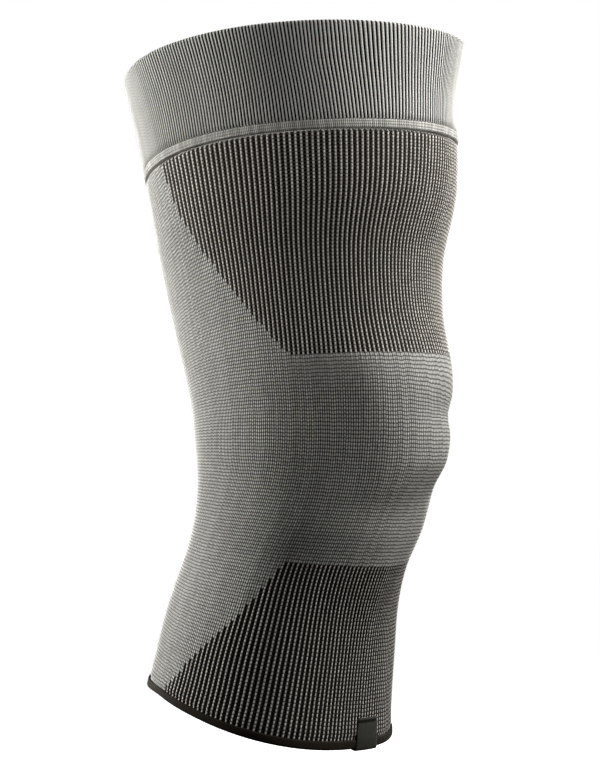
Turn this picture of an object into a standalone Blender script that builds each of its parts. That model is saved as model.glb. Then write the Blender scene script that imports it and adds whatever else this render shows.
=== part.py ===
"""Knitted compression knee sleeve in the shape it has when it is worn, as five separate pieces.

Metres, +Z up the thigh. The kneecap points to -Y and X = 0 is the plane of symmetry; only the small
hem label lies to one side of it. The origin is the middle of the knee, inside the open sleeve.
"""
import math
from collections import namedtuple

import bmesh
import bpy
from mathutils import Vector

MM = 0.001

# ---- driving sizes, millimetres ----
COLUMNS = 72            # points round every ring, the same for all pieces so that their gaps stay even
GAP = 0.3               # free space between neighbouring pieces
KNIT_WALL = 1.6         # single knit of the tube
CUFF_WALL = 2.6         # the cuff is the ribbed knit folded double
CUFF_ARCH = 2.2         # the cuff sits this much lower in front and behind than at the sides

RIM_LEVEL = 161.7       # top edge of the cuff
SEAM_LEVEL = 119.7      # top edge of the knit tube
HEM_LEVEL = -108.6      # lower edge of the hem binding
WELT_HEIGHT = 4.3       # sewn band between tube and cuff
WELT_PROUD = 0.5        # how far it stands out from the cuff
WELT_ROUNDING = 0.8
WELT_EDGE = 0.2         # inset of its upper and lower edges
ARCH_START = 60.0       # level from which CUFF_ARCH grows, up to the seam
TAPE = 0.7              # thickness of the folded hem tape
TAPE_HEIGHT = 4.2
TAPE_INNER_HEIGHT = 3.6
TAPE_CORNER = 0.4
HEM_PINCH = 0.45        # the tape squeezes the knit inwards by this much
HEM_WALL = 1.0          # squeezed wall inside the tape
PINCH_END = 0.4         # above the tape, the knit stays squeezed over this height
PINCH_FADE = 2.0        # and is back at its full thickness at this one
LABEL_THICKNESS = 0.5
LABEL_TOP = 12.0        # height of the label's outer leaf above the hem
LABEL_TUCK = 6.0        # height of its inner leaf
LABEL_BEND = 0.6        # rounding of its fold
LABEL_COLUMNS = (0, 3)  # first and last column that the label spans, from the front centre line

TAPE_OUTSIDE = HEM_PINCH - GAP - TAPE            # insets of the tape's outer and inner faces
TAPE_INSIDE = HEM_PINCH + HEM_WALL + GAP + TAPE

# One row for each section of the leg form, from the rim down to the hem. level and centre_y place the
# middle of the section and pitch is the tilt of its plane in degrees. The other columns are its outer sizes,
# and how square its front half is: 2 is a plain ellipse.
Section = namedtuple("Section", "level centre_y pitch half_width front back squareness")
SECTIONS = (
    Section(161.7, 17.9, 9.0, 73.0, 77.0, 65.5, 2.1),      # rim
    Section(139.0, 15.0, 9.0, 67.0, 72.5, 64.5, 2.0),
    Section(119.7, 12.5, 8.5, 63.0, 72.5, 64.0, 1.95),     # seam of the cuff
    Section(97.5, 9.5, 8.0, 59.5, 68.5, 63.5, 2.0),
    Section(73.5, 6.5, 7.0, 54.0, 59.5, 63.5, 2.0),
    Section(52.0, 3.5, 5.5, 52.0, 55.5, 61.0, 2.05),
    Section(34.0, 1.0, 2.5, 51.5, 55.5, 58.0, 2.1),        # above the kneecap
    Section(18.0, 0.0, 0.5, 50.5, 53.0, 55.0, 2.1),
    Section(2.0, 0.0, -2.5, 50.0, 50.5, 53.0, 2.15),       # middle of the knee
    Section(-14.0, 1.5, -4.0, 48.5, 48.0, 50.5, 2.15),
    Section(-29.5, 4.5, -5.0, 47.5, 45.0, 49.0, 2.2),
    Section(-45.0, 8.5, -7.0, 46.5, 39.5, 50.0, 2.2),      # narrowest, below the kneecap
    Section(-60.5, 12.5, -9.0, 47.5, 37.5, 53.0, 2.25),
    Section(-78.0, 17.5, -13.0, 49.5, 40.0, 54.0, 2.3),
    Section(-97.5, 22.5, -17.0, 51.0, 43.5, 55.0, 2.35),
    Section(-110.0, 26.0, -19.0, 52.5, 47.0, 55.5, 2.4),   # hem
)
BACK_SQUARENESS = 2.0

# Local swellings (+) and hollows (-) of the knee, millimetres. Each fades away from its middle: over below and
# above along the leg, and over span degrees sideways. side is how far its middle lies from the front, and a
# higher edge makes it flatter on top and steeper at its sides.
Swelling = namedtuple("Swelling", "height level below above side span edge")
SWELLINGS = (
    Swelling(8.6, -1.0, 7.5, 28.5, 0.0, 27.0, 3.0),     # kneecap
    Swelling(3.0, -50.0, 15.0, 15.0, 0.0, 23.0, 2.0),   # bump of the shin bone
    Swelling(-2.0, 2.0, 24.0, 24.0, 52.0, 20.0, 2.0),   # hollow on each side of the kneecap
)

# Levels at which the tube has a ring of points, closer together where the kneecap bends it.
TUBE_LEVELS = (-94, -83, -72, -62, -52, -43, -35, -27, -20, -14, -8, -2, 5, 13, 22, 31, 41, 52, 64, 77, 91, 105)
CUFF_LEVELS = (134, 144, 153)


def slope(index, column):
    """Slope of one column of the section table at a row, from the rows on either side."""
    before = SECTIONS[max(index - 1, 0)]
    after = SECTIONS[min(index + 1, len(SECTIONS) - 1)]
    return (after[column] - before[column]) / (after.level - before.level)


def section_at(level):
    """The section at any level, on smooth curves through the columns of the table."""
    index = 0
    while index < len(SECTIONS) - 2 and SECTIONS[index + 1].level > level:
        index += 1
    upper, lower = SECTIONS[index], SECTIONS[index + 1]
    run = lower.level - upper.level
    t = (level - upper.level) / run
    values = [level]
    for column in range(1, len(upper)):
        ends = (1 + 2 * t) * (1 - t) ** 2 * upper[column] + t * t * (3 - 2 * t) * lower[column]
        leave = t * (1 - t) ** 2 * run * slope(index, column)
        arrive = t * t * (t - 1) * run * slope(index + 1, column)
        values.append(ends + leave + arrive)
    return Section(*values)


def swelling_at(level, degrees):
    """Height of all local swellings together, at a level and an angle from the front."""
    total = 0.0
    for item in SWELLINGS:
        offset = level - item.level
        reach = item.above if offset > 0 else item.below
        aside = abs(abs(degrees) - item.side)
        total += item.height * math.exp(-0.5 * (offset / reach) ** 2 - (aside / item.span) ** item.edge)
    return total


def skin_point(level, degrees, inset):
    """Point at a level and an angle from the front, inset millimetres inside the outer surface."""
    section = section_at(level)
    angle = math.radians(degrees)
    across, ahead = math.sin(angle), math.cos(angle)
    if ahead > 0:
        depth, power = section.front, section.squareness
    else:
        depth, power = section.back, BACK_SQUARENESS
    radius = (abs(across / section.half_width) ** power + abs(ahead / depth) ** power) ** (-1 / power)
    radius += swelling_at(level, (degrees + 180) % 360 - 180) - inset
    tilt = math.radians(section.pitch)
    climb = min(max((level - ARCH_START) / (SEAM_LEVEL - ARCH_START), 0), 1)
    x = radius * across
    y = section.centre_y - radius * ahead * math.cos(tilt)
    z = level + radius * ahead * math.sin(tilt) - CUFF_ARCH * climb * math.cos(2 * angle)
    return Vector((x, y, z)) * MM


def fabric(name, colour, roughness=0.9):
    """Plain cloth material."""
    material = bpy.data.materials.new(name)
    material.use_nodes = True
    shader = material.node_tree.nodes["Principled BSDF"]
    shader.inputs["Base Color"].default_value = (*colour, 1.0)
    shader.inputs["Roughness"].default_value = roughness
    shader.inputs["Metallic"].default_value = 0.0
    return material


def make_object(name, mesh, material):
    """Finish a bmesh as a smooth-shaded object with outward faces."""
    bmesh.ops.recalc_face_normals(mesh, faces=mesh.faces)
    for face in mesh.faces:
        face.smooth = True
    data = bpy.data.meshes.new(name)
    mesh.to_mesh(data)
    mesh.free()
    data.materials.append(material)
    piece = bpy.data.objects.new(name, data)
    bpy.context.collection.objects.link(piece)
    return piece


def sweep_ring(name, profile, material):
    """Sweep a closed profile of (level, inset) points all the way round the leg form."""
    mesh = bmesh.new()
    rings = []
    for level, inset in profile:
        angles = (360 * column / COLUMNS for column in range(COLUMNS))
        rings.append([mesh.verts.new(skin_point(level, angle, inset)) for angle in angles])
    for lower, upper in zip(rings, rings[1:] + rings[:1]):
        for column in range(COLUMNS):
            beside = (column + 1) % COLUMNS
            mesh.faces.new((lower[column], lower[beside], upper[beside], upper[column]))
    return make_object(name, mesh, material)


def sweep_strip(name, path, thickness, columns, material):
    """Give a path of (level, inset) points a thickness and sweep it from one column to another."""
    mesh = bmesh.new()
    sides = ([], [])
    for index, (level, inset) in enumerate(path):
        before = path[max(index - 1, 0)]
        after = path[min(index + 1, len(path) - 1)]
        along = Vector((after[0] - before[0], after[1] - before[1])).normalized()
        for side, sign in zip(sides, (1, -1)):
            shift = sign * thickness / 2
            place = (level - along.y * shift, inset + along.x * shift)
            row = []
            for column in range(columns[0], columns[1] + 1):
                row.append(mesh.verts.new(skin_point(place[0], 360 * column / COLUMNS, place[1])))
            side.append(row)
    wide = columns[1] - columns[0]
    for side in sides:
        for low, high in zip(side, side[1:]):
            for column in range(wide):
                mesh.faces.new((low[column], low[column + 1], high[column + 1], high[column]))
    near, far = sides
    for column in range(wide):
        for end in (0, -1):
            mesh.faces.new((near[end][column], near[end][column + 1], far[end][column + 1], far[end][column]))
    for edge in (0, wide):
        for index in range(len(path) - 1):
            mesh.faces.new((near[index][edge], near[index + 1][edge], far[index + 1][edge], far[index][edge]))
    return make_object(name, mesh, material)


def knit_tube(material):
    """Single-knit tube from the hem to the seam, squeezed thinner where the hem tape holds it."""
    bottom = HEM_LEVEL + TAPE + GAP
    pinch_top = HEM_LEVEL + TAPE_HEIGHT + PINCH_END
    full_from = HEM_LEVEL + TAPE_HEIGHT + PINCH_FADE
    free_levels = (full_from, *TUBE_LEVELS, SEAM_LEVEL)
    outer = [(bottom, HEM_PINCH), (pinch_top, HEM_PINCH)]
    outer += [(level, 0) for level in free_levels]
    inner = [(level, KNIT_WALL) for level in reversed(free_levels)]
    inner += [(pinch_top, HEM_PINCH + HEM_WALL), (bottom, HEM_PINCH + HEM_WALL)]
    return sweep_ring("knit_tube", outer + inner, material)


def welt_band(material):
    """Sewn band that joins the tube and the cuff, rounded and a little proud of both."""
    low = SEAM_LEVEL + GAP
    high = SEAM_LEVEL + WELT_HEIGHT - GAP
    inner = CUFF_WALL - WELT_EDGE
    profile = [(low, WELT_EDGE), (low + WELT_ROUNDING, -WELT_PROUD)]
    profile += [(high - WELT_ROUNDING, -WELT_PROUD), (high, WELT_EDGE), (high, inner), (low, inner)]
    return sweep_ring("welt_band", profile, material)


def thigh_cuff(material):
    """Double ribbed cuff with a rounded fold at the rim."""
    low = SEAM_LEVEL + WELT_HEIGHT
    fold = CUFF_WALL / 2
    outer = [(low, 0)] + [(level, 0) for level in CUFF_LEVELS] + [(RIM_LEVEL - fold, 0)]
    turn = []
    for eighth in (2, 4, 6):
        angle = math.pi * eighth / 8
        turn.append((RIM_LEVEL - fold + fold * math.sin(angle), fold - fold * math.cos(angle)))
    inner = [(level, inset + CUFF_WALL) for level, inset in reversed(outer)]
    return sweep_ring("thigh_cuff", outer + turn + inner, material)


def hem_binding(material):
    """Tape folded round the lower edge of the tube, open towards the tube."""
    floor = HEM_LEVEL + TAPE
    top = HEM_LEVEL + TAPE_HEIGHT
    inner_top = HEM_LEVEL + TAPE_INNER_HEIGHT
    corner = HEM_LEVEL + TAPE_CORNER
    profile = [(HEM_LEVEL, TAPE_OUTSIDE + TAPE_CORNER), (corner, TAPE_OUTSIDE), (top, TAPE_OUTSIDE)]
    profile += [(top, TAPE_OUTSIDE + TAPE), (floor, TAPE_OUTSIDE + TAPE)]
    profile += [(floor, TAPE_INSIDE - TAPE), (inner_top, TAPE_INSIDE - TAPE), (inner_top, TAPE_INSIDE)]
    profile += [(corner, TAPE_INSIDE), (HEM_LEVEL, TAPE_INSIDE - TAPE_CORNER)]
    return sweep_ring("hem_binding", profile, material)


def hem_label(material):
    """Small label folded over the hem, a strip that starts inside and ends on the front of the tube."""
    half = LABEL_THICKNESS / 2
    inside = TAPE_INSIDE + GAP + half
    below = HEM_LEVEL - GAP - half
    on_tape = TAPE_OUTSIDE - GAP - half
    on_knit = -GAP - half
    tape_top = HEM_LEVEL + TAPE_HEIGHT
    path = [(HEM_LEVEL + LABEL_TUCK, inside), (below + LABEL_BEND, inside), (below, inside - LABEL_BEND)]
    path += [(below, on_tape + LABEL_BEND), (below + LABEL_BEND, on_tape), (tape_top + GAP, on_tape)]
    path += [(tape_top + PINCH_FADE, on_knit), (HEM_LEVEL + LABEL_TOP, on_knit)]
    return sweep_strip("hem_label", path, LABEL_THICKNESS, LABEL_COLUMNS, material)


def clear_scene():
    """Start from an empty scene."""
    for item in list(bpy.data.objects):
        bpy.data.objects.remove(item, do_unlink=True)


def main():
    """Build the five pieces and hang them on one empty at the origin."""
    clear_scene()
    pieces = [
        knit_tube(fabric("grey_knit", (0.155, 0.155, 0.138))),
        welt_band(fabric("pale_welt", (0.30, 0.30, 0.285))),
        thigh_cuff(fabric("ribbed_cuff_knit", (0.18, 0.178, 0.163))),
        hem_binding(fabric("dark_hem_tape", (0.026, 0.021, 0.017))),
        hem_label(fabric("dark_label_weave", (0.021, 0.020, 0.016), roughness=0.75)),
    ]
    sleeve = bpy.data.objects.new("knee_sleeve", None)
    bpy.context.collection.objects.link(sleeve)
    for piece in pieces:
        piece.parent = sleeve


main()
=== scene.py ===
"""Knitted compression knee sleeve: its knit, ribbed cuff, welt, hem tape and label, in a plain studio.

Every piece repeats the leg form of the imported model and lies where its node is. Metres, +Z up the thigh,
kneecap towards -Y. Levels, insets and the section table are in millimetres.
"""
import functools
import math
from collections import namedtuple

import bpy
import numpy as np
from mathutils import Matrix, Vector


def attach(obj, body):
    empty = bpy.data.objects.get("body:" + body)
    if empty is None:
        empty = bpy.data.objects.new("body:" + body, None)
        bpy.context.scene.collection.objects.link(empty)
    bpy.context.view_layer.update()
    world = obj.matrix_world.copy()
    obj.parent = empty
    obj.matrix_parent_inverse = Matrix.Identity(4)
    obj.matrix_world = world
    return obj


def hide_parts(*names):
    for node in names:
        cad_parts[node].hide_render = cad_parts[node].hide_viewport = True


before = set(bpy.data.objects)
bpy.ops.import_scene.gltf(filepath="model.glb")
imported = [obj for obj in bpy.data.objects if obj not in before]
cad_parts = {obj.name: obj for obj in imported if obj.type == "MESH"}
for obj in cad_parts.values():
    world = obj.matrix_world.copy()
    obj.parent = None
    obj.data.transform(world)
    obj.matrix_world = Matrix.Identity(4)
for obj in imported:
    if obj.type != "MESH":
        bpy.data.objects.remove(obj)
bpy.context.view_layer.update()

bl_info = {
    "name": "Knitted knee sleeve",
    "version": (1, 0, 0),
    "blender": (4, 5, 0),
    "location": "3D View > Sidebar > Knee sleeve",
    "description": "Dresses a knitted knee sleeve in its fabrics and sets it in a plain studio",
    "category": "Object",
}

MM = 0.001

# ---- the leg form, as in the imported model, millimetres ----
GAP = 0.3
KNIT_WALL = 1.6
CUFF_WALL = 2.6
CUFF_ARCH = 2.2
RIM_LEVEL = 161.7
SEAM_LEVEL = 119.7
HEM_LEVEL = -108.6
WELT_HEIGHT = 4.3
ARCH_START = 60.0
TAPE = 0.7
TAPE_HEIGHT = 3.3
HEM_PINCH = 0.45
HEM_WALL = 1.0
PINCH_END = 0.4
PINCH_FADE = 2.0
TAPE_ROUNDING = 1.3    # height of the tape's rounding under the hem
TAPE_STRAIGHT = 2.6    # height from which its outer face is straight
TAPE_SHORTER = 0.6     # its inner leaf ends this much lower than its outer one
TAPE_CHAMFER = (0.3, 0.2)        # height and inset of its upper edge
TAPE_OUTSIDE = HEM_PINCH - GAP - TAPE
TAPE_INSIDE = HEM_PINCH + HEM_WALL + GAP + TAPE
TUCK = 0.8             # height over which the knit tucks in under the welt
BACK_SQUARENESS = 2.0

LABEL_THICKNESS = 0.36
LABEL_CLEAR = 0.1
LABEL_BEND = 0.9       # rounding of its fold
LABEL_TUCK = 6.0       # height of its inner leaf above the hem
LABEL_REACH = 11.0     # height over which its sides lean
LABEL_SIDES = ((0.6, 2.5), (18.0, 3.2))      # degrees from the front of each side at the hem, and its lean
LABEL_COLUMNS = 13
LABEL_SEAM = 0.58      # of the way round the label's map
LABEL_LEAF = 0.45      # share of that map's height for each face of the label
# Its outer leaf from the tape up: height above the tape's edge or the hem, and inset from the tape's or the
# knit's face. The knit shows the row of stitches as a dent near the top.
LABEL_STEP = ((0.0, 0.0), (1.2, 0.1))
LABEL_TOP = ((8.6, -0.15), (9.3, 0.35), (10.0, -0.1), (10.6, 0.35))

# The welt's three ridges: height above its lower edge, and inset.
WELT_RIDGES = (
    (0.0, 0.7), (0.05, 0.1), (0.25, -0.25), (0.6, -0.35), (0.85, -0.2), (1.0, 0.15), (1.15, -0.2),
    (1.6, -0.4), (2.05, -0.2), (2.2, 0.1), (2.35, -0.2), (2.7, -0.3),
)
WELT_LIFT = 0.3        # how far its lower edge stands above the seam's gap
WELT_SINK = 0.4        # how far short of the cuff's inner face it ends
STITCH_DROP = 0.1      # depth between two stitches

# Sections from the hem up: level, centre_y, pitch in degrees, half_width, front, back, squareness.
SECTIONS = np.array((
    (-110.0, 26.0, -19.0, 52.5, 47.0, 55.5, 2.4),
    (-97.5, 22.5, -17.0, 51.0, 43.5, 55.0, 2.35),
    (-78.0, 17.5, -13.0, 49.5, 40.0, 54.0, 2.3),
    (-60.5, 12.5, -9.0, 47.5, 37.5, 53.0, 2.25),
    (-45.0, 8.5, -7.0, 46.5, 39.5, 50.0, 2.2),
    (-29.5, 4.5, -5.0, 47.5, 45.0, 49.0, 2.2),
    (-14.0, 1.5, -4.0, 48.5, 48.0, 50.5, 2.15),
    (2.0, 0.0, -2.5, 50.0, 50.5, 53.0, 2.15),
    (18.0, 0.0, 0.5, 50.5, 53.0, 55.0, 2.1),
    (34.0, 1.0, 2.5, 51.5, 55.5, 58.0, 2.1),
    (52.0, 3.5, 5.5, 52.0, 55.5, 61.0, 2.05),
    (73.5, 6.5, 7.0, 54.0, 59.5, 63.5, 2.0),
    (97.5, 9.5, 8.0, 59.5, 68.5, 63.5, 2.0),
    (119.7, 12.5, 8.5, 63.0, 72.5, 64.0, 1.95),
    (139.0, 15.0, 9.0, 67.0, 72.5, 64.5, 2.0),
    (161.7, 17.9, 9.0, 73.0, 77.0, 65.5, 2.1),
))

# Swellings and hollows: height, level, reach below and above, side in degrees, span in degrees, edge.
Swelling = namedtuple("Swelling", "height level below above side span edge")
SWELLINGS = (
    Swelling(8.6, -1.0, 7.5, 28.5, 0.0, 27.0, 3.0),
    Swelling(3.0, -50.0, 15.0, 15.0, 0.0, 23.0, 2.0),
    Swelling(-2.0, 2.0, 24.0, 24.0, 52.0, 20.0, 2.0),
    Swelling(-2.0, 2.0, 24.0, 24.0, -52.0, 20.0, 2.0),
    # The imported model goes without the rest. These are a fold beside the kneecap, a hollow below the fold,
    # and the fill under the kneecap.
    Swelling(2.7, 27.0, 14.0, 9.0, -32.0, 12.0, 2.0),
    Swelling(-1.4, -1.0, 8.0, 9.0, -14.0, 22.0, 2.0),
    Swelling(2.2, -13.0, 5.0, 5.0, -12.0, 22.0, 2.0),
    # These are the crease where the knit folds over the kneecap, the roll above it and the swell below it.
    Swelling(-1.3, 14.0, 2.8, 3.4, 20.0, 26.0, 2.0),
    Swelling(0.8, 23.0, 4.0, 7.0, 20.0, 26.0, 2.0),
    Swelling(0.4, 4.0, 5.0, 4.0, 20.0, 26.0, 2.0),
)
# How much lower the hem hangs at the back than a flat cut would: drop, first and last degrees, fade upwards.
HEM_DROOP = (4.5, 112.0, 150.0, 14.0)

# How the knit lies on the form: level, twist in degrees, how many degrees the ribs spread at the front and at
# the side, and how many millimetres the courses sag at the back.
KNIT_LIE = np.array((
    (-110.0, -3.8, 13.0, 10.5, 0.0),
    (-80.0, -3.8, 13.0, 10.5, 0.0),
    (-50.0, -3.4, 10.0, 7.5, 0.0),
    (-20.0, 1.7, 3.0, 3.0, 0.5),
    (0.0, 1.8, -1.0, 1.0, 2.0),
    (36.0, -4.7, -7.0, 2.5, 7.0),
    (75.0, -6.8, -10.0, 3.5, 11.0),
    (98.0, -4.8, -10.0, 3.5, 11.0),
    (120.0, -4.3, -10.5, 3.9, 11.0),
))
# The courses also dip towards the crease over the kneecap: drop, level, reach below and above, side, span.
CREASE_DIP = (4.5, 19.5, 4.0, 6.5, 28.0, 28.0)
SAG_START = 75.0       # degrees from the front at which the sag begins
CUFF_SPREAD = -3.0     # degrees by which the cuff's ribs lie further from the front at the sides
# The cuff's ribs wander: by how many degrees for each millimetre they lean at three heights, for places round
# the cuff. The lean is summed from the seam up, in so many steps.
LEAN_STEPS = 8
LEAN_LEVELS = (131.0, 142.0, 152.5)
LEAN_DEGREES = (-180.0, -98.0, -86.0, -66.0, -50.0, -38.0, -25.0, -12.0, 5.0, 60.0, 180.0)
CUFF_LEAN = np.array((
    (0.05, 0.10, 0.07, 0.02, -0.045, -0.065, -0.02, 0.12, 0.24, 0.05, 0.05),
    (0.03, 0.05, 0.005, -0.02, -0.09, -0.14, -0.11, -0.03, 0.08, 0.03, 0.03),
    (0.0, -0.03, -0.03, -0.03, -0.05, -0.045, -0.10, -0.07, -0.02, 0.0, 0.0),
))

# Edges of the two dark panels: level, degrees from the front. Between the rows they run straight.
UPPER_PANEL_FOOT = 35.0
UPPER_PANEL_EDGE = np.array((
    (35.0, 62.6), (44.4, 71.2), (54.7, 80.3), (67.1, 89.7), (78.8, 98.2), (92.0, 105.6), (106.6, 109.8),
    (120.0, 113.6),
))
LOWER_PANEL_HEAD = -43.3
LOWER_PANEL_EDGE = np.array((
    (-110.0, 115.0), (-102.3, 109.6), (-90.4, 99.9), (-80.0, 90.2), (-70.4, 81.2), (-60.6, 73.2),
    (-49.8, 64.7), (-43.3, 59.8),
))

EDGE_STEP = 0.25       # levels at which the panels' edges are looked up
NO_PANEL = 1000.0      # height of a panel's edge where there is no panel
DEEP_OUTSIDE = -9.0    # depth in a panel of what lies in none

# The plain knit lies flatter where it is stretched. Over the kneecap: by what share, over how many degrees.
# Below the upper panel: by what share, how far under its foot, over what height and how many degrees.
FLAT_CAP = (0.6, 24.0)
FLAT_FOOT = (0.75, 2.0, 8.0, 70.0)

CELL = (0.0, 0.13, 0.22, 0.5, 0.78, 0.87)          # columns of points from one rib's crest to the next
CELL_DROP = (0.0, 0.12, 0.88, 1.0, 0.88, 0.12)     # how far each lies down the groove between them
WALE_DROP = (0.0, 0.4, 1.0, 0.0, 1.0, 0.4)         # the same where both wales are alike, in the plain knit
CUFF_CELL = (0.0, 0.27, 0.5, 0.73)
CUFF_CELL_DROP = (0.0, 0.22, 1.0, 0.22)
FOLD_RELIEF = 0.4      # share of the cuff ribs' relief at the start of its fold
RIM_RELIEF = 0.7       # just below it
INNER_RELIEF = -0.5    # and inside, where the grooves stand towards the leg
OUTER_ROWS = 80
INNER_ROWS = 56
CUFF_ROWS = 15
FOLD_ROWS = 10
TAPE_ROWS = 13
TAPE_COLUMNS = 360
OUTER_MAP = 0.7        # share of the fabric map's height for the outer face; the rest is the inner face's
MAP_SPARE = 1.06       # room in it for the courses that sag


# ---- form ----
def columns_at(table, levels):
    """The other columns of a table at each level, on smooth curves through its rows."""
    known, values = table[:, 0], table[:, 1:]
    rows = np.arange(len(known))
    before, after = np.maximum(rows - 1, 0), np.minimum(rows + 1, len(rows) - 1)
    slopes = (values[after] - values[before]) / (known[after] - known[before])[:, None]
    levels = np.asarray(levels, float)
    row = np.clip(np.searchsorted(known, levels, side="right") - 1, 0, len(rows) - 2)
    run = known[row + 1] - known[row]
    t = ((levels - known[row]) / run)[..., None]
    ends = (1 + 2 * t) * (1 - t) ** 2 * values[row] + t * t * (3 - 2 * t) * values[row + 1]
    leave = t * (1 - t) ** 2 * run[..., None] * slopes[row]
    arrive = t * t * (t - 1) * run[..., None] * slopes[row + 1]
    return np.moveaxis(ends + leave + arrive, -1, 0)


def skin(levels, degrees, inset):
    """Points of the leg form, inset millimetres inside its outer surface."""
    levels, degrees, inset = np.broadcast_arrays(levels, degrees, inset)
    centre_y, pitch, half_width, front, back, squareness = columns_at(SECTIONS, levels)
    angle = np.radians(degrees)
    across, ahead = np.sin(angle), np.cos(angle)
    depth = np.where(ahead > 0, front, back)
    power = np.where(ahead > 0, squareness, BACK_SQUARENESS)
    radius = (np.abs(across / half_width) ** power + np.abs(ahead / depth) ** power) ** (-1 / power)
    for item in SWELLINGS:
        offset = levels - item.level
        reach = np.where(offset > 0, item.above, item.below)
        aside = np.abs((degrees - item.side + 180) % 360 - 180) / item.span
        radius = radius + item.height * np.exp(-0.5 * (offset / reach) ** 2 - aside ** item.edge)
    radius = radius - inset
    tilt = np.radians(pitch)
    climb = np.clip((levels - ARCH_START) / (SEAM_LEVEL - ARCH_START), 0, 1)
    x = radius * across
    y = centre_y - radius * ahead * np.cos(tilt)
    droop, first, last, fade = HEM_DROOP
    turned = np.abs((degrees + 180) % 360 - 180)
    share = np.clip((turned - first) / (last - first), 0, 1)
    droop = droop * share * share * (3 - 2 * share) * np.exp((HEM_LEVEL - levels) / fade)
    z = levels + radius * ahead * np.sin(tilt) - CUFF_ARCH * climb * np.cos(2 * angle) - droop
    return np.stack((x, y, z), -1) * MM


def knit_lie(levels, turn):
    """Degrees from the front of the tube's yarn that lies turn degrees round the knit, at each level."""
    twist, front, side, _ = columns_at(KNIT_LIE, levels)
    return turn + twist + front * np.sin(np.radians(turn)) + side * np.cos(np.radians(turn))


def cuff_lie(levels, turn):
    """The same for the cuff."""
    climb = np.asarray(levels, float) - SEAM_LEVEL
    degrees = turn + CUFF_SPREAD * np.sin(np.radians(turn))
    low, middle, high = (np.interp((degrees + 180) % 360 - 180, LEAN_DEGREES, row) for row in CUFF_LEAN)
    low_level, middle_level, high_level = LEAN_LEVELS
    for step in range(LEAN_STEPS):
        level = SEAM_LEVEL + climb * (step + 0.5) / LEAN_STEPS
        to_middle = np.clip((level - low_level) / (middle_level - low_level), 0, 1)
        to_high = np.clip((level - middle_level) / (high_level - middle_level), 0, 1)
        lean = low + (middle - low) * to_middle + (high - middle) * to_high
        degrees = degrees + climb / LEAN_STEPS * lean
    return degrees


def course_rise(levels, degrees):
    """Millimetres by which the courses at each place belong higher up than its level, as they sag and dip."""
    sag = columns_at(KNIT_LIE, levels)[3]
    turned = np.abs((degrees + 180) % 360 - 180)
    share = np.clip((turned - SAG_START) / (180 - SAG_START), 0, 1)
    drop, level, below, above, side, span = CREASE_DIP
    reach = np.where(levels > level, above, below)
    aside = ((degrees - side + 180) % 360 - 180) / span
    dip = drop * np.exp(-0.5 * ((levels - level) / reach) ** 2 - aside ** 2)
    return sag * np.sin(share * math.pi / 2) ** 2 + dip


def wale_relief(levels, degrees):
    """Share of their relief that the wales of the plain knit keep at each place."""
    share, span = FLAT_CAP
    flat_share, under, height, width = FLAT_FOOT
    relief = 1 - share * np.exp(-(degrees / span) ** 2)
    offset = (levels - UPPER_PANEL_FOOT + under) / height
    return relief * (1 - flat_share * np.exp(-offset ** 2 - (degrees / width) ** 4))


def cell_columns(cells, phases):
    """Places round the knit, as shares of a turn, of every column of points."""
    return (np.arange(cells)[:, None] + np.array(phases)).ravel() / cells


def turn_of(share):
    """Degrees from the front for a share of a turn that starts at the back."""
    return 360 * np.asarray(share) - 180


# ---- meshes ----
def ring_faces(first, rows, columns, closed=False):
    """Corners of the faces of a grid that runs right round. Its points are numbered from first."""
    row, column = np.meshgrid(np.arange(rows if closed else rows - 1), np.arange(columns), indexing="ij")
    beside, above = (column + 1) % columns, (row + 1) % rows
    here, there = row * columns, above * columns
    corners = (here + column, here + beside, there + beside, there + column)
    return first + np.stack(corners, -1).reshape(-1, 4)


def ring_map(along, up):
    """Places in the fabric of the same faces' corners.

    along is round the ring, with its end. up has a row for each row of points, as long as along.
    """
    row, column = np.meshgrid(np.arange(len(up) - 1), np.arange(len(along) - 1), indexing="ij")
    u = np.stack((along[column], along[column + 1], along[column + 1], along[column]), -1)
    v = np.stack((up[row, column], up[row, column + 1], up[row + 1, column + 1], up[row + 1, column]), -1)
    return np.stack((u, v), -1).reshape(-1, 4, 2)


def join_rings(outer_first, outer_columns, inner_first, inner_columns, upward):
    """Faces that close an open end, each from a stretch of its outer ring to one of its inner ring."""
    ratio = outer_columns // inner_columns
    faces = []
    for column in range(inner_columns):
        along = [outer_first + (column * ratio + step) % outer_columns for step in range(ratio + 1)]
        back = [inner_first + (column + 1) % inner_columns, inner_first + column]
        faces.append(along + back if upward else (along + back)[::-1])
    return faces


def make_piece(name, points, faces, places, material, node, depths=None):
    """Make a smooth mesh with its fabric map, and let it ride and stand for its node."""
    mesh = bpy.data.meshes.new(name)
    corners = [list(map(int, face)) for face in faces]
    mesh.from_pydata(np.asarray(points).reshape(-1, 3).tolist(), [], corners)
    layer = mesh.uv_layers.new(name="fabric")
    layer.data.foreach_set("uv", np.asarray(places, np.float32).ravel())
    if depths is not None:
        attribute = mesh.attributes.new("panel_depth", "FLOAT", "CORNER")
        attribute.data.foreach_set("value", np.asarray(depths, np.float32).ravel())
    mesh.shade_smooth()
    mesh.materials.append(material)
    piece = bpy.data.objects.new(name, mesh)
    bpy.context.scene.collection.objects.link(piece)
    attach(piece, "root")
    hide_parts(node)
    return piece


# ---- materials ----
def linear(code):
    """Linear colour of an sRGB hex value."""
    shares = [int(code[place:place + 2], 16) / 255 for place in (1, 3, 5)]
    return [share / 12.92 if share <= 0.04045 else ((share + 0.055) / 1.055) ** 2.4 for share in shares]


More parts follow.
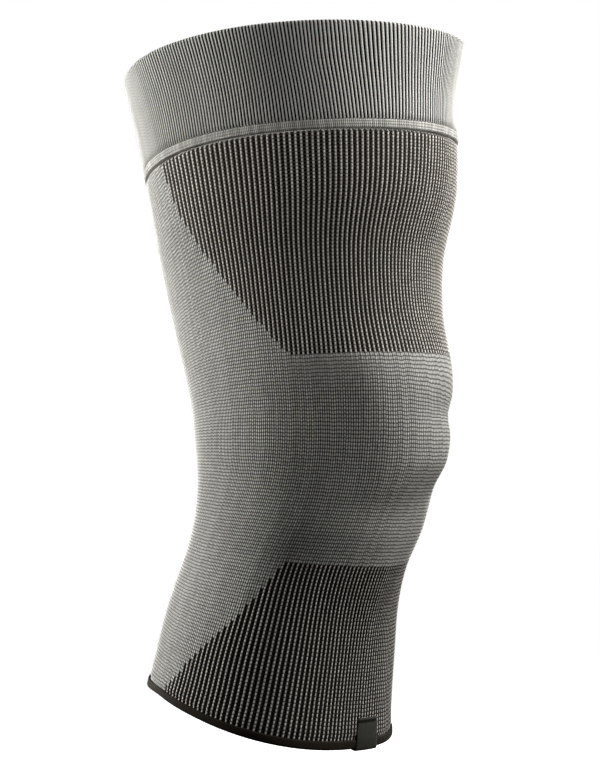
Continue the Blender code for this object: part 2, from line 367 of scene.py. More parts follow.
def add_node(tree, kind, inputs=(), **settings):
    """Add a node with its settings. Each input takes a value, a socket, or a node's first output."""
    made = tree.nodes.new("ShaderNode" + kind)
    for name, value in settings.items():
        setattr(made, name, value)
    for place, value in inputs.items() if isinstance(inputs, dict) else enumerate(inputs):
        if isinstance(value, bpy.types.Node):
            value = value.outputs[0]
        if isinstance(value, bpy.types.NodeSocket):
            tree.links.new(value, made.inputs[place])
        else:
            made.inputs[place].default_value = value
    return made


def start_material(name, **values):
    """A material with its shader's own sockets set, and the function that adds nodes to it."""
    material = bpy.data.materials.new(name)
    material.use_nodes = True
    tree = material.node_tree
    shader = tree.nodes["Principled BSDF"]
    for socket, value in values.items():
        shader.inputs[socket.replace("_", " ")].default_value = value
    return material, shader, functools.partial(add_node, tree)


def distance(add, value, centre):
    """How far a value is from a centre."""
    return add("Math", (add("Math", (value, centre), operation="SUBTRACT"),), operation="ABSOLUTE")


def nearest(add, value):
    """The whole number nearest to a value, and how far the value is from it."""
    number = add("Math", (value,), operation="ROUND")
    return number, distance(add, value, number)


def finish_cloth(material, shader, add, mix, spread, relief, strength, depth):
    """Give the shader a mix of two colours, lighter or darker by its spread, and the threads' relief."""
    colour = add("Mix", mix, data_type="RGBA")
    varied = add("VectorMath", {0: colour.outputs[2], 3: spread}, operation="SCALE")
    bump = add("Bump", {"Strength": strength, "Distance": depth, "Height": relief})
    material.node_tree.links.new(varied.outputs[0], shader.inputs["Base Color"])
    material.node_tree.links.new(bump.outputs[0], shader.inputs["Normal"])
    return material


def knit_fabric(colours, sizes):
    """Polyamide and elastane compression knit, knitted round on a fine machine.

    The textured filament yarn is matt with a faint sheen. Over the panels every second wale stands up as a
    chain of pale loops and the wale between them is near black; elsewhere both are the same warm grey.
    The map is counted in real ribs of 1.9 mm, wales of half that and courses of 1.4 mm.
    """
    material, shader, add = start_material(
        "polyamide_elastane_knit", Roughness=0.8, Specular_IOR_Level=0.12, Sheen_Weight=0.04,
        Sheen_Roughness=0.4)
    place = add("SeparateXYZ", (add("UVMap", uv_map="fabric"),))
    around, up = place.outputs[0], place.outputs[1]
    rib = add("Math", (around, sizes.rib_count), operation="MULTIPLY")
    course = add("Math", (up, MAP_SPARE * sizes.course_count / OUTER_MAP), operation="MULTIPLY")
    depth = add("Attribute", attribute_name="panel_depth").outputs["Fac"]
    panel = add("MapRange", (depth, -0.1, 0.1, 0.0, 1.0))

    _, from_crest = nearest(add, rib)
    wale_number, from_wale = nearest(add, add("Math", (rib, 2.0), operation="MULTIPLY"))
    wale_chance = add("TexWhiteNoise", {"W": wale_number}, noise_dimensions="1D")
    # Neighbouring wales are a little out of step.
    step = add("Math", (wale_chance, 0.24, course), operation="MULTIPLY_ADD")
    course_number, from_loop = nearest(add, step)
    cell = add("CombineXYZ", (wale_number, course_number, 0.0))
    loop_chance = add("TexWhiteNoise", {"Vector": cell}, noise_dimensions="2D")

    # The pale wale is a third of a rib wide, and narrower where one loop passes into the next.
    neck = add("MapRange", (from_loop, 0.18, 0.5, 0.0, 1.0), interpolation_type="SMOOTHSTEP")
    # Painted shade: the lower panel is painted darker, as less light falls low on the sleeve. Its pale wales
    # are narrower and less shows between them.
    upper = add("MapRange", (up, 0.2, 0.4, 0.0, 1.0))
    widest = add("Math", (upper, 0.03, 0.165), operation="MULTIPLY_ADD")
    width = add("Math", (neck, -0.09, widest), operation="MULTIPLY_ADD")
    inside_rib = add("Math", (width, from_crest), operation="SUBTRACT")
    pale = add("MapRange", (inside_rib, -0.04, 0.06, 0.0, 1.0), interpolation_type="SMOOTHSTEP")
    bead = add("Math", (neck, -0.8, 1.0), operation="MULTIPLY_ADD")
    pale = add("Math", (pale, bead), operation="MULTIPLY")
    # Dark bars cross the groove, with a hole between them.
    bar = add("MapRange", (from_loop, 0.12, 0.36, 0.0, 1.0), interpolation_type="SMOOTHSTEP")
    past_bar = add("Math", (from_crest, 0.38), operation="SUBTRACT")
    hole = add("MapRange", (past_bar, 0.0, 0.1, 1.0, 0.25))
    ground_light = add("Math", (bar, hole), operation="MULTIPLY")
    # Painted shade on the lower panel's ground.
    lower_panel_painted_shade = add("Math", (upper, 0.6, 0.4), operation="MULTIPLY_ADD")
    ground_light = add("Math", (ground_light, lower_panel_painted_shade), operation="MULTIPLY")
    ground = add("Mix", {0: ground_light, 6: (*colours.panel_gap, 1.0), 7: (*colours.panel_ground, 1.0)},
                 data_type="RGBA")
    panel_colour = add("Mix", {0: pale, 6: ground.outputs[2], 7: (*colours.pale_yarn, 1.0)}, data_type="RGBA")

    # The knit is less stretched towards the back, so its loops close up there.
    from_front = distance(add, around, 0.5)
    least = add("MapRange", (from_front, 0.33, 0.39, 0.25, 0.62), interpolation_type="SMOOTHSTEP")
    # Over the kneecap and below the upper panel the wales lie flatter, so less shade shows between them.
    below_panel = add("MapRange", (up, 0.374, 0.4, 0.0, 0.5))
    in_front = add("MapRange", (from_front, 0.16, 0.2, 1.0, 0.0))
    below_panel = add("Math", (below_panel, in_front), operation="MULTIPLY")
    over_cap = add("MapRange", (from_front, 0.03, 0.09, 0.4, 0.0))
    flat = add("Math", (below_panel, over_cap), operation="MAXIMUM")
    across = add("MapRange", {0: from_wale, 1: 0.13, 2: 0.46, 3: 1.0, 4: flat},
                 interpolation_type="SMOOTHSTEP")
    along = add("MapRange", {0: from_loop, 1: 0.16, 2: 0.48, 3: 1.0, 4: least},
                interpolation_type="SMOOTHSTEP")
    loop = add("Math", (across, along), operation="MULTIPLY")
    # There the loops are painted darker instead: the painted shade moves from between the wales onto them.
    duller = add("Math", (flat, -0.55, 1.0), operation="MULTIPLY_ADD")
    paleness = add("Math", (loop, duller), operation="MULTIPLY")
    grey_colour = add("Mix", {0: paleness, 6: (*colours.knit_gap, 1.0), 7: (*colours.knit_yarn, 1.0)},
                      data_type="RGBA")

    mix = {0: panel, 6: grey_colour.outputs[2], 7: panel_colour.outputs[2]}
    spread = add("Math", (wale_chance, 0.2, 0.78), operation="MULTIPLY_ADD")
    spread = add("Math", (loop_chance, 0.24, spread), operation="MULTIPLY_ADD")
    relief = add("Mix", {0: panel, 2: loop, 3: pale}, data_type="FLOAT")
    return finish_cloth(material, shader, add, mix, spread, relief, 0.7, 0.22 * MM)


def cuff_fabric(colours, sizes):
    """The same yarn in a plain one-by-one rib, folded double: rounded pale ribs with soft dark grooves.

    The map is counted in real ribs of 1.5 mm and courses of 1.3 mm.
    """
    material, shader, add = start_material(
        "ribbed_polyamide_knit", Roughness=0.8, Specular_IOR_Level=0.12, Sheen_Weight=0.04,
        Sheen_Roughness=0.4)
    place = add("SeparateXYZ", (add("UVMap", uv_map="fabric"),))
    rib = add("Math", (place.outputs[0], sizes.cuff_rib_count), operation="MULTIPLY")
    rib_number, from_crest = nearest(add, rib)
    rib_chance = add("TexWhiteNoise", {"W": rib_number}, noise_dimensions="1D")
    up = add("Math", (place.outputs[1], sizes.cuff_courses), operation="MULTIPLY")
    step = add("Math", (rib_chance, 1.0, up), operation="MULTIPLY_ADD")
    from_loop = distance(add, add("Math", (step,), operation="FRACT"), 0.5)
    streak = add("TexNoise", {"Vector": add("CombineXYZ", (rib, up, 0.0)), "Scale": 0.35, "Detail": 2.0})
    # Towards the back the rib is less stretched, so its grooves close up.
    from_front = distance(add, place.outputs[0], 0.5)
    closed = add("MapRange", (from_front, 0.29, 0.36, 0.0, 0.16), interpolation_type="SMOOTHSTEP")
    from_edge = add("Math", (from_crest, closed), operation="SUBTRACT")
    crest = add("MapRange", (from_edge, 0.19, 0.33, 1.0, 0.0), interpolation_type="SMOOTHSTEP")
    neck = add("MapRange", (from_loop, 0.2, 0.5, 1.0, 0.82), interpolation_type="SMOOTHSTEP")
    light = add("Math", (crest, neck), operation="MULTIPLY")
    duller = add("Math", (closed, -1.7, 1.0), operation="MULTIPLY_ADD")
    light = add("Math", (light, duller), operation="MULTIPLY")
    mix = {0: light, 6: (*colours.cuff_groove, 1.0), 7: (*colours.cuff_yarn, 1.0)}
    spread = add("Math", (rib_chance, 0.12, 0.88), operation="MULTIPLY_ADD")
    spread = add("Math", (streak, 0.14, spread), operation="MULTIPLY_ADD")
    return finish_cloth(material, shader, add, mix, spread, light, 0.5, 0.2 * MM)


def welt_fabric(colours, sizes):
    """Overlock seam in texturised polyester thread: three soft ridges of upright stitches, 0.8 mm apart."""
    material, shader, add = start_material(
        "overlock_polyester_thread", Roughness=0.75, Specular_IOR_Level=0.15)
    place = add("SeparateXYZ", (add("UVMap", uv_map="fabric"),))
    stitch = add("Math", (place.outputs[0], sizes.stitch_count), operation="MULTIPLY")
    stitch_number, from_stitch = nearest(add, stitch)
    chance = add("TexWhiteNoise", {"W": stitch_number}, noise_dimensions="1D")
    thread = add("MapRange", (from_stitch, 0.15, 0.5, 1.0, 0.0), interpolation_type="SMOOTHSTEP")
    mix = {0: thread, 6: (*colours.welt_gap, 1.0), 7: (*colours.welt_thread, 1.0)}
    spread = add("Math", (chance, 0.45, 0.7), operation="MULTIPLY_ADD")
    return finish_cloth(material, shader, add, mix, spread, thread, 0.6, 0.2 * MM)


def tape_fabric(colours):
    """Knitted polyester fold tape, brown-black: a fine twill ground, a little paler along its upper edge."""
    material, shader, add = start_material("polyester_fold_tape", Roughness=0.82, Specular_IOR_Level=0.15)
    fabric = add("UVMap", uv_map="fabric")
    place = add("SeparateXYZ", (fabric,))
    # Real threads are 0.25 mm apart. To show, the twill is drawn at 0.6 mm round the hem and 1 mm up.
    climb = add("Math", (place.outputs[1], 16.0), operation="MULTIPLY")
    slant = add("Math", (place.outputs[0], 560.0, climb), operation="MULTIPLY_ADD")
    wave = add("Math", (add("Math", (slant, math.tau), operation="MULTIPLY"),), operation="SINE")
    thread = add("MapRange", (wave, -1.0, 1.0, 0.0, 1.0))
    edge = add("MapRange", (place.outputs[1], 0.36, 0.45, 0.0, 1.0), interpolation_type="SMOOTHSTEP")
    long_way = add("VectorMath", {0: fabric, 1: (60.0, 3.0, 1.0)}, operation="MULTIPLY")
    mottle = add("TexNoise", {"Vector": long_way, "Scale": 1.0, "Detail": 3.0})
    faint = add("Math", (thread, 0.35), operation="MULTIPLY")
    light = add("Math", (edge, 0.5, faint), operation="MULTIPLY_ADD")
    mix = {0: light, 6: (*colours.tape_dark, 1.0), 7: (*colours.tape_light, 1.0)}
    spread = add("Math", (mottle, 0.9, 0.55), operation="MULTIPLY_ADD")
    return finish_cloth(material, shader, add, mix, spread, thread, 0.5, 0.1 * MM)


def label_fabric(colours):
    """Woven polyester label in charcoal: a close satin ground with a row of lockstitches near its top."""
    material, shader, add = start_material("woven_polyester_label", Roughness=0.7, Specular_IOR_Level=0.2)
    fabric = add("UVMap", uv_map="fabric")
    place = add("SeparateXYZ", (fabric,))
    # Real threads are about 0.15 mm apart. To show, they are drawn at 0.5 mm.
    waves = []
    for side, threads in ((1, 95), (0, 32)):
        angle = add("Math", (place.outputs[side], math.tau * threads), operation="MULTIPLY")
        waves.append(add("Math", (angle,), operation="SINE"))
    weave = add("MapRange", (add("Math", tuple(waves), operation="MULTIPLY"), -1.0, 1.0, 0.0, 1.0))
    long_way = add("VectorMath", {0: fabric, 1: (9.0, 24.0, 1.0)}, operation="MULTIPLY")
    mottle = add("TexNoise", {"Vector": long_way, "Scale": 1.0, "Detail": 4.0})
    faint = add("Math", (weave, 0.35), operation="MULTIPLY")
    light = add("Math", (mottle, 0.9, faint), operation="MULTIPLY_ADD")
    mix = {0: light, 6: (*colours.label_dark, 1.0), 7: (*colours.label_light, 1.0)}
    # The stitches press a dark line into it just under its top edge.
    from_seam = distance(add, place.outputs[1], LABEL_SEAM)
    pressed = add("MapRange", (from_seam, 0.008, 0.02, 0.12, 1.0), interpolation_type="SMOOTHSTEP")
    return finish_cloth(material, shader, add, mix, pressed, weave, 0.4, 0.1 * MM)


def paper_floor(colours):
    """Matt white studio paper, which fades into the white room further out.

    Real grain is too fine to show, so it is drawn at 1.1 mm.
    """
    material, shader, add = start_material("matt_studio_paper", Roughness=0.9, Emission_Color=(1, 1, 1, 1))
    place = add("TexCoord").outputs["Object"]
    away = add("VectorMath", (place,), operation="LENGTH").outputs["Value"]
    grain = add("TexNoise", {"Vector": place, "Scale": 900.0, "Detail": 2.0})
    fade = add("MapRange", (away, 0.25, 0.9, 0.25, 1.0), interpolation_type="SMOOTHSTEP")
    shade = add("MapRange", (grain, 0.3, 0.7, 0.96, 1.0))
    tint = add("VectorMath", {0: tuple(colours.paper), 3: shade}, operation="SCALE")
    material.node_tree.links.new(tint.outputs[0], shader.inputs["Base Color"])
    material.node_tree.links.new(fade.outputs[0], shader.inputs["Emission Strength"])
    return material


# ---- pieces ----
def panel_edges(ribs):
    """For every groove, the course heights at the upper panel's foot and at the lower one's head."""
    turn = turn_of((np.arange(ribs) + 0.5) / ribs)
    levels = np.arange(HEM_LEVEL, SEAM_LEVEL + 1, EDGE_STEP)[:, None]
    degrees = knit_lie(levels, turn)
    around, heights = np.abs(degrees), levels + course_rise(levels, degrees)
    upper = (levels > UPPER_PANEL_FOOT) & (around < np.interp(levels, *UPPER_PANEL_EDGE.T))
    lower = (levels < LOWER_PANEL_HEAD) & (around < np.interp(levels, *LOWER_PANEL_EDGE.T))
    foot = np.where(upper, heights, NO_PANEL).min(axis=0)
    head = np.where(lower, heights, -NO_PANEL).max(axis=0)
    return foot, head


def knit_tube_piece(sizes, colours):
    """Single-knit tube: the grooved panels, the plain knit between them, and its inner face."""
    ribs = sizes.rib_count
    bottom, top = HEM_LEVEL + TAPE + GAP, SEAM_LEVEL
    pinch_top, full_from = HEM_LEVEL + TAPE_HEIGHT + PINCH_END, HEM_LEVEL + TAPE_HEIGHT + PINCH_FADE
    course = (top - bottom) / sizes.course_count

    levels = np.concatenate(((bottom, pinch_top), np.linspace(full_from, top - TUCK, OUTER_ROWS), (top,)))
    levels = levels[:, None]
    pinch = np.interp(levels, (pinch_top, full_from, top - TUCK, top), (HEM_PINCH, 0, 0, TUCK))
    share = cell_columns(ribs, CELL)
    foot, head = ((np.round((edge - bottom) / course) + 0.5) for edge in panel_edges(ribs))
    cell = np.repeat(np.arange(ribs), len(CELL))
    degrees = knit_lie(levels, turn_of(share))
    count = (levels + course_rise(levels, degrees) - bottom) / course
    grooved = np.clip(np.maximum(count - foot[cell], head[cell] - count), 0, 1)
    drop = np.tile(CELL_DROP, ribs) * grooved * sizes.rib_height / MM
    plain = (1 - grooved) * wale_relief(levels, degrees)
    drop += np.tile(WALE_DROP, ribs) * plain * sizes.wale_height / MM
    outer = skin(levels, degrees, pinch + drop).reshape(-1, 3)

    inner_levels = np.concatenate((np.linspace(top, full_from, INNER_ROWS), (pinch_top, bottom)))[:, None]
    inner_inset = np.interp(inner_levels, (pinch_top, full_from), (HEM_PINCH + HEM_WALL, KNIT_WALL))
    inner_share = cell_columns(ribs, (0.0,))
    inner = skin(inner_levels, knit_lie(inner_levels, turn_of(inner_share)), inner_inset).reshape(-1, 3)

    count = np.hstack((count, count[:, :1]))
    outer_map = ring_map(np.append(share, 1.0), count * OUTER_MAP / (MAP_SPARE * sizes.course_count))
    inner_up = 1 - (1 - OUTER_MAP) * (inner_levels - bottom) / (top - bottom)
    inner_map = ring_map(np.append(inner_share, 1.0), np.repeat(inner_up, ribs + 1, axis=1))
    end_map = np.repeat([(place, 0.0) for place in inner_share], len(CELL) + 3, axis=0)
    places = np.concatenate([part.reshape(-1, 2) for part in (outer_map, inner_map, end_map, end_map)])
    cell_of_face = np.tile(cell, len(levels) - 1)[:, None]
    face_count = ring_map(np.append(share, 1.0), count)[..., 1]
    depths = np.maximum(face_count - foot[cell_of_face], head[cell_of_face] - face_count)
    depths = np.concatenate((depths.ravel(), np.full(len(places) - depths.size, DEEP_OUTSIDE)))

    top_row, bottom_row = len(outer) - len(share), len(outer) + len(inner) - ribs
    faces = ring_faces(0, len(levels), len(share)).tolist()
    faces += ring_faces(len(outer), len(inner_levels), ribs).tolist()
    faces += join_rings(top_row, len(share), len(outer), ribs, True)
    faces += join_rings(0, len(share), bottom_row, ribs, False)
    return make_piece("compression_knit", np.concatenate((outer, inner)), faces, places,
                      knit_fabric(colours, sizes), "knit_tube",
                      depths=depths)


def swept_ring(name, profile, shares, lie, drop, material, node):
    """Sweep a closed profile of (level, inset) points round the leg form, with a drop for each column."""
    profile = np.array(profile)
    levels, insets = profile[:, :1], profile[:, 1:]
    points = skin(levels, lie(levels, turn_of(shares)), insets + drop)
    faces = ring_faces(0, len(profile), len(shares), closed=True)
    steps = np.hypot(*(np.roll(profile, -1, axis=0) - profile).T)
    up = np.append(0, np.cumsum(steps)) / steps.sum()
    places = ring_map(np.append(shares, 1.0), np.repeat(up[:, None], len(shares) + 1, axis=1))
    return make_piece(name, points, faces, places, material, node)


def thigh_cuff_piece(sizes, colours):
    """Double ribbed cuff with a rounded fold at the rim."""
    low, fold = SEAM_LEVEL + WELT_HEIGHT, CUFF_WALL / 2
    turn = np.radians(np.linspace(0, 180, FOLD_ROWS)[1:-1])
    outer = [(level, 0.0) for level in np.linspace(low, RIM_LEVEL - fold, CUFF_ROWS)]
    over = [(RIM_LEVEL - fold + fold * math.sin(step), fold - fold * math.cos(step)) for step in turn]
    inner = [(level, CUFF_WALL) for level, _ in reversed(outer)]
    relief = [1.0] * (CUFF_ROWS - 1) + [RIM_RELIEF] + list(np.cos(turn) * FOLD_RELIEF)
    relief += [INNER_RELIEF] * CUFF_ROWS
    shares = cell_columns(sizes.cuff_rib_count, CUFF_CELL)
    drop = np.tile(CUFF_CELL_DROP, sizes.cuff_rib_count) * sizes.cuff_rib_height / MM
    return swept_ring("ribbed_cuff", outer + over + inner, shares, cuff_lie, drop * np.array(relief)[:, None],
                      cuff_fabric(colours, sizes), "thigh_cuff")


def welt_band_piece(sizes, colours):
    """Overlock seam in three ridges, with upright stitches."""
    low, high = SEAM_LEVEL + GAP + WELT_LIFT, SEAM_LEVEL + WELT_HEIGHT - GAP
    back = CUFF_WALL - WELT_SINK
    profile = [(low + up, inset) for up, inset in WELT_RIDGES]
    profile += [(high - 0.15, -0.05), (high, 0.5), (high, back), (low, back)]
    shares = cell_columns(sizes.stitch_count, (0.0, 0.5))
    drop = np.tile((0.0, STITCH_DROP), sizes.stitch_count)
    return swept_ring("overlock_welt", profile, shares, cuff_lie, drop, welt_fabric(colours, sizes),
                      "welt_band")


def hem_binding_piece(colours):
    """Fold tape round the hem, rounded underneath and open towards the knit."""
    floor, top = HEM_LEVEL + TAPE, HEM_LEVEL + TAPE_HEIGHT
    middle, half = (TAPE_OUTSIDE + TAPE_INSIDE) / 2, (TAPE_INSIDE - TAPE_OUTSIDE) / 2
    under = HEM_LEVEL + TAPE_ROUNDING
    high, inset = TAPE_CHAMFER
    inner_top = top - TAPE_SHORTER
    profile = [(floor, TAPE_INSIDE - TAPE), (inner_top, TAPE_INSIDE - TAPE), (inner_top, TAPE_INSIDE)]
    profile += [(under - TAPE_ROUNDING * math.sin(step), middle - half * math.cos(step))
                for step in np.radians(np.linspace(180, 0, TAPE_ROWS))]
    profile += [(HEM_LEVEL + TAPE_STRAIGHT, TAPE_OUTSIDE), (top - high, TAPE_OUTSIDE)]
    profile += [(top, TAPE_OUTSIDE + inset), (top, TAPE_OUTSIDE + TAPE), (floor, TAPE_OUTSIDE + TAPE)]
    return swept_ring("hem_tape", profile, np.arange(TAPE_COLUMNS) / TAPE_COLUMNS, knit_lie, 0.0,
                      tape_fabric(colours), "hem_binding")


def label_path():
    """Middle of the label's cloth as (level, inset), from inside the sleeve round the hem and up again."""
    half, bend = LABEL_THICKNESS / 2, LABEL_BEND
    inside, below = TAPE_INSIDE + LABEL_CLEAR + half, HEM_LEVEL - LABEL_CLEAR - half
    on_tape, on_knit = TAPE_OUTSIDE - LABEL_CLEAR - half, -LABEL_CLEAR - half
    tape_top = HEM_LEVEL + TAPE_HEIGHT
    corner = np.radians(np.linspace(0, 90, 5))
    path = [(HEM_LEVEL + LABEL_TUCK, inside)]
    path += [(below + bend - bend * math.sin(step), inside - bend + bend * math.cos(step)) for step in corner]
    path += [(below + bend - bend * math.cos(step), on_tape + bend - bend * math.sin(step))
             for step in corner]
    path += [(tape_top + up, on_tape + inset) for up, inset in LABEL_STEP]
    path += [(tape_top + 2.4, on_knit - 0.1)]
    path += [(HEM_LEVEL + up, on_knit + inset) for up, inset in LABEL_TOP]
    return np.array(path)


def hem_label_piece(colours):
    """Small woven label folded over the hem, from inside the sleeve up its front."""
    path = label_path()
    tangent = np.gradient(path, axis=0)
    tangent /= np.hypot(*tangent.T)[:, None]
    normal = np.stack((-tangent[:, 1], tangent[:, 0]), -1) * LABEL_THICKNESS / 2
    sides = np.concatenate((path + normal, (path - normal)[::-1]))
    steps = np.linspace(0, 1, LABEL_COLUMNS)
    rise = np.clip((sides[:, :1] - HEM_LEVEL) / LABEL_REACH, 0, 1)
    left, right = (start + lean * rise for start, lean in LABEL_SIDES)
    points = skin(sides[:, :1], left + (right - left) * steps, sides[:, 1:])

    run = np.append(0, np.cumsum(np.hypot(*np.diff(path, axis=0).T)))
    run = np.concatenate((run / run[-1] * LABEL_LEAF, 1 - run[::-1] / run[-1] * LABEL_LEAF))
    wide, count = len(steps), len(sides)
    faces, places = [], []
    for row in range(count):
        above = (row + 1) % count
        low, high = run[row], run[above] if above else 1.0
        for column in range(wide - 1):
            near, far = row * wide + column, above * wide + column
            left, right = steps[column], steps[column + 1]
            faces.append([near, near + 1, far + 1, far])
            places += [(left, low), (right, low), (right, high), (left, high)]
    # Close its two cut sides.
    for column, flip in ((0, False), (wide - 1, True)):
        for row in range(len(path) - 1):
            back = count - 1 - row
            face = [place * wide + column for place in (row, row + 1, back - 1, back)]
            faces.append(face[::-1] if flip else face)
            places += [(steps[column], run[row])] * 4
    return make_piece("woven_label", points, faces, places, label_fabric(colours), "hem_label")


# ---- studio ----
FLOOR_RINGS = (0.4, 1.2, 4, 14)
FLOOR_STEP = 3.75      # degrees

# Lamps: name, degrees from the camera, elevation, distance, size, watts, height. The side lamps stand a
# little above the rim, so that the light falls off down the sleeve. The back ones aim at the middle of the
# picture.
LAMPS = (
    ("left_softbox", -93, 0, 0.55, (0.3, 0.3), 3.3, 0.205),
    ("front_softbox", -14, 0, 0.55, (0.3, 0.3), 0.42, 0.205),
    ("right_softbox", 80, 0, 0.55, (0.3, 0.3), 2.75, 0.235),
    ("high_softbox", 98, 42, 0.5, (0.3, 0.3), 2.8, 0.235),
    ("back_left_softbox", -132, 8, 1.2, (0.5, 0.6), 11.0, None),
    ("back_right_softbox", 150, 8, 1.2, (0.5, 0.6), 5.0, None),
)


def direction(azimuth, elevation):
    """Unit vector towards a place seen at an azimuth from the front and a height above the horizon."""
    return Vector((math.sin(azimuth) * math.cos(elevation), -math.cos(azimuth) * math.cos(elevation),
                   math.sin(elevation)))


def softbox(name, azimuth, elevation, away, size, watts, target):
    """Large soft lamp that faces the sleeve."""
    lamp = bpy.data.lights.new(name, "AREA")
    lamp.shape = "RECTANGLE"
    lamp.size, lamp.size_y = size
    lamp.energy = watts
    holder = bpy.data.objects.new(name, lamp)
    towards = direction(math.radians(azimuth), math.radians(elevation))
    holder.location = target + towards * away
    holder.rotation_euler = towards.to_track_quat("Z", "Y").to_euler()
    bpy.context.scene.collection.objects.link(holder)


def build_studio(studio, colours):
    """Camera at the picture's angle, white room, pale floor and softboxes."""
    target = Vector(studio.target)
    camera = bpy.data.cameras.new("studio_camera")
    camera.lens = studio.lens
    camera.sensor_width = 36.0
    holder = bpy.data.objects.new("studio_camera", camera)
    towards = direction(studio.azimuth, studio.elevation)
    holder.location = target + towards * studio.distance
    holder.rotation_euler = towards.to_track_quat("Z", "Y").to_euler()
    bpy.context.scene.collection.objects.link(holder)
    bpy.context.scene.camera = holder

    mesh = bpy.data.meshes.new("paper_floor")
    around = np.radians(np.arange(0, 360, FLOOR_STEP))
    circle = np.stack((np.cos(around), np.sin(around), 0 * around), -1)
    rings = np.concatenate([radius * circle for radius in FLOOR_RINGS])
    corners = [list(range(len(around)))]
    corners += ring_faces(0, len(FLOOR_RINGS), len(around))[:, ::-1].tolist()
    mesh.from_pydata(rings.tolist(), [], corners)
    mesh.materials.append(paper_floor(colours))
    floor = bpy.data.objects.new("paper_floor", mesh)
    floor.location.z = studio.floor_height
    floor.visible_diffuse = False
    floor.visible_glossy = False
    bpy.context.scene.collection.objects.link(floor)

    world = bpy.data.worlds.new("white_room")
    world.use_nodes = True
    world.node_tree.nodes["Background"].inputs["Color"].default_value = (1.0, 1.0, 1.0, 1.0)
    world.cycles_visibility.diffuse = False
    world.cycles_visibility.glossy = False
    bpy.context.scene.world = world
    bpy.context.scene.view_settings.view_transform = "Standard"

    for name, aside, elevation, away, size, watts, height in LAMPS:
        aim = Vector((target.x, target.y, target.z if height is None else height))
        softbox(name, math.degrees(studio.azimuth) + aside, elevation, away, size, watts, aim)


# ---- what a user may change ----
class SleeveSizes(bpy.types.PropertyGroup):
    """Counts and heights of the knit."""
    rib_count: bpy.props.IntProperty(
        name="Ribs", description="Ribs of the knit tube, two wales each", default=172, min=60, max=260)
    course_count: bpy.props.IntProperty(
        name="Courses", description="Rows of loops from the hem to the seam", default=164, min=60, max=300)
    rib_height: bpy.props.FloatProperty(
        name="Rib height", description="How far the ribs of the panels stand above their grooves",
        default=0.5 * MM, min=0.0, max=1.2 * MM, unit="LENGTH", subtype="DISTANCE")
    wale_height: bpy.props.FloatProperty(
        name="Wale height", description="How far the wales of the plain knit stand up",
        default=0.17 * MM, min=0.0, max=0.5 * MM, unit="LENGTH", subtype="DISTANCE")
    cuff_rib_count: bpy.props.IntProperty(
        name="Cuff ribs", description="Ribs round the cuff", default=284, min=100, max=360)
    cuff_courses: bpy.props.IntProperty(
        name="Cuff courses", description="Rows of loops round the cuff's whole fold",
        default=62, min=20, max=160)
    cuff_rib_height: bpy.props.FloatProperty(
        name="Cuff rib height", description="Height of the cuff's ribs",
        default=0.9 * MM, min=0.0, max=1.2 * MM, unit="LENGTH", subtype="DISTANCE")
    stitch_count: bpy.props.IntProperty(
        name="Welt stitches", description="Upright stitches round the welt", default=500, min=200, max=700)


class SleeveColours(bpy.types.PropertyGroup):
    """Yarn and thread colours, linear."""
    pale_yarn: bpy.props.FloatVectorProperty(
        name="Pale yarn", description="Raised wales of the panels",
        subtype="COLOR", default=linear("#F2EDE4"))
    panel_ground: bpy.props.FloatVectorProperty(
        name="Panel ground", description="Dark wales of the panels",
        subtype="COLOR", default=linear("#5F594F"))
    panel_gap: bpy.props.FloatVectorProperty(
        name="Panel gap", description="Between the dark loops", subtype="COLOR", default=linear("#080706"))
    knit_yarn: bpy.props.FloatVectorProperty(
        name="Knit yarn", description="Loops of the plain knit", subtype="COLOR", default=linear("#F2F0E8"))
    knit_gap: bpy.props.FloatVectorProperty(
        name="Knit gap", description="Between the loops of the plain knit", subtype="COLOR",
        default=linear("#272623"))
    cuff_yarn: bpy.props.FloatVectorProperty(
        name="Cuff yarn", description="Ribs of the cuff", subtype="COLOR", default=linear("#F0EFE8"))
    cuff_groove: bpy.props.FloatVectorProperty(
        name="Cuff groove", description="Grooves of the cuff", subtype="COLOR", default=linear("#0C0B0A"))
    welt_thread: bpy.props.FloatVectorProperty(
        name="Welt thread", description="Stitches of the welt", subtype="COLOR", default=linear("#F0EEE6"))
    welt_gap: bpy.props.FloatVectorProperty(
        name="Welt gap", description="Between the welt's stitches",
        subtype="COLOR", default=linear("#4E4C47"))
    tape_dark: bpy.props.FloatVectorProperty(
        name="Tape", description="Hem tape", subtype="COLOR", default=linear("#0F0C09"))
    tape_light: bpy.props.FloatVectorProperty(
        name="Tape highlights", description="Raised threads and paler upper edge of the hem tape", subtype="COLOR",
        default=linear("#2C251B"))
    label_dark: bpy.props.FloatVectorProperty(
        name="Label", description="Ground of the label", subtype="COLOR", default=linear("#171714"))
    label_light: bpy.props.FloatVectorProperty(
        name="Label highlights", description="Raised threads of the label", subtype="COLOR",
        default=linear("#3A3A32"))
    paper: bpy.props.FloatVectorProperty(
        name="Paper", description="Studio floor", subtype="COLOR", default=linear("#F4F4F4"))


class SleeveStudio(bpy.types.PropertyGroup):
    """Camera and floor."""
    azimuth: bpy.props.FloatProperty(
        name="Azimuth", description="Camera's angle round the sleeve from its front",
        default=math.radians(-50.0), unit="ROTATION", subtype="ANGLE")
    elevation: bpy.props.FloatProperty(
        name="Elevation", description="Camera's angle above the horizon", default=math.radians(-2.4),
        unit="ROTATION", subtype="ANGLE")
    distance: bpy.props.FloatProperty(
        name="Distance", description="From the camera to the point it looks at", default=1.23366, min=0.2,
        unit="LENGTH", subtype="DISTANCE")
    target: bpy.props.FloatVectorProperty(
        name="Target", description="Point that the camera looks at", default=(0.0, 0.01027, 0.02562),
        unit="LENGTH", subtype="TRANSLATION")
    lens: bpy.props.FloatProperty(
        name="Lens", description="Focal length", default=135.74, min=20.0, unit="CAMERA")
    floor_height: bpy.props.FloatProperty(
        name="Floor height", description="Height of the floor under the sleeve", default=-0.19,
        unit="LENGTH", subtype="DISTANCE")


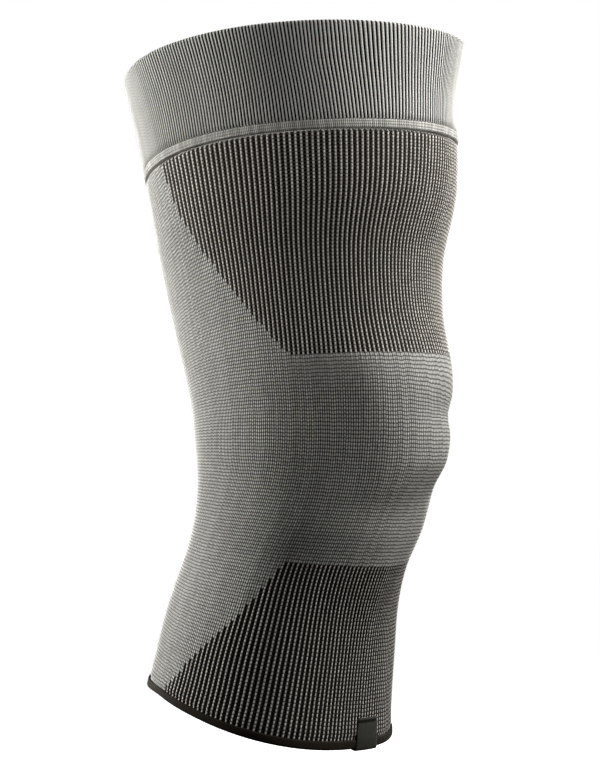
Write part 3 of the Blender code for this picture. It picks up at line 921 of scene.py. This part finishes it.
# ---- operators ----
class SLEEVE_OT_knit_tube(bpy.types.Operator):
    """Knit the tube with its two grooved panels"""
    bl_idname = "sleeve.knit_tube"
    bl_label = "Knit tube"

    def execute(self, context):
        knit_tube_piece(context.scene.sleeve_sizes, context.scene.sleeve_colours)
        return {"FINISHED"}


class SLEEVE_OT_thigh_cuff(bpy.types.Operator):
    """Knit the double ribbed cuff"""
    bl_idname = "sleeve.thigh_cuff"
    bl_label = "Thigh cuff"

    def execute(self, context):
        thigh_cuff_piece(context.scene.sleeve_sizes, context.scene.sleeve_colours)
        return {"FINISHED"}


class SLEEVE_OT_welt_band(bpy.types.Operator):
    """Sew the welt between the tube and the cuff"""
    bl_idname = "sleeve.welt_band"
    bl_label = "Welt band"

    def execute(self, context):
        welt_band_piece(context.scene.sleeve_sizes, context.scene.sleeve_colours)
        return {"FINISHED"}


class SLEEVE_OT_hem_binding(bpy.types.Operator):
    """Fold the tape round the hem"""
    bl_idname = "sleeve.hem_binding"
    bl_label = "Hem binding"

    def execute(self, context):
        hem_binding_piece(context.scene.sleeve_colours)
        return {"FINISHED"}


class SLEEVE_OT_hem_label(bpy.types.Operator):
    """Fold the bare label over the hem"""
    bl_idname = "sleeve.hem_label"
    bl_label = "Hem label"

    def execute(self, context):
        hem_label_piece(context.scene.sleeve_colours)
        return {"FINISHED"}


class SLEEVE_OT_studio(bpy.types.Operator):
    """Set up the camera, the floor, the white room and the softboxes"""
    bl_idname = "sleeve.studio"
    bl_label = "Studio"

    def execute(self, context):
        build_studio(context.scene.sleeve_studio, context.scene.sleeve_colours)
        return {"FINISHED"}


class SLEEVE_PT_panel(bpy.types.Panel):
    """Pieces of the sleeve, with their sizes and colours"""
    bl_idname = "SLEEVE_PT_panel"
    bl_label = "Knee sleeve"
    bl_space_type = "VIEW_3D"
    bl_region_type = "UI"
    bl_category = "Knee sleeve"

    def draw(self, context):
        for operator in OPERATORS:
            self.layout.operator(operator.bl_idname)
        for group in (context.scene.sleeve_sizes, context.scene.sleeve_colours, context.scene.sleeve_studio):
            box = self.layout.box()
            for name in group.__annotations__:
                box.prop(group, name)


OPERATORS = (SLEEVE_OT_knit_tube, SLEEVE_OT_thigh_cuff, SLEEVE_OT_welt_band, SLEEVE_OT_hem_binding,
             SLEEVE_OT_hem_label, SLEEVE_OT_studio)
CLASSES = (SleeveSizes, SleeveColours, SleeveStudio, *OPERATORS, SLEEVE_PT_panel)


def register():
    for item in CLASSES:
        bpy.utils.register_class(item)
    bpy.types.Scene.sleeve_sizes = bpy.props.PointerProperty(type=SleeveSizes)
    bpy.types.Scene.sleeve_colours = bpy.props.PointerProperty(type=SleeveColours)
    bpy.types.Scene.sleeve_studio = bpy.props.PointerProperty(type=SleeveStudio)


def unregister():
    del bpy.types.Scene.sleeve_sizes, bpy.types.Scene.sleeve_colours, bpy.types.Scene.sleeve_studio
    for item in reversed(CLASSES):
        bpy.utils.unregister_class(item)


def main():
    """Register the add-on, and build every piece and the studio."""
    register()
    for operator in OPERATORS:
        group, name = operator.bl_idname.split(".")
        getattr(getattr(bpy.ops, group), name)()


if __name__ == "__main__":
    main()
